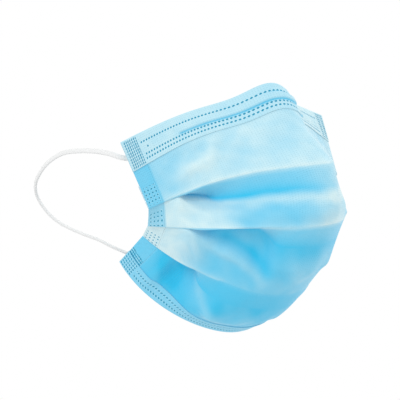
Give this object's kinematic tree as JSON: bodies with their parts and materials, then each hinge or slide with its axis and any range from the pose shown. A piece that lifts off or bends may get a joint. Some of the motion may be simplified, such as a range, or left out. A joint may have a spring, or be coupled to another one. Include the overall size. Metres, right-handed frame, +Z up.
{
  "type": "surgical face mask",
  "caption": "Pleated face mask in its worn form, with folded hems, a wired nose band, welded side bands and elastic ear loops.",
  "frame": {"origin": "middle of the top edge, where it sits on the bridge of the nose", "axes": "+X towards the wearer's left, -Y out of the front of the mask, +Z up"},
  "size_m": [0.1614, 0.1476, 0.1323],
  "materials": {
    "outer_fabric": "matt light blue nonwoven, white inside",
    "hem_fabric": "matt light blue nonwoven, pressed with weld dots",
    "nose_wire": "white plastic-coated flat wire",
    "elastic": "soft white knitted elastic"
  },
  "bodies": {
    "root": {"mask_body": "outer_fabric", "top_hem": "hem_fabric", "nose_wire": "nose_wire", "bottom_hem": "hem_fabric", "side_band_left": "hem_fabric", "side_band_right": "hem_fabric", "ear_loop_left": "elastic", "ear_loop_right": "elastic"}
  },
  "joints": []
}
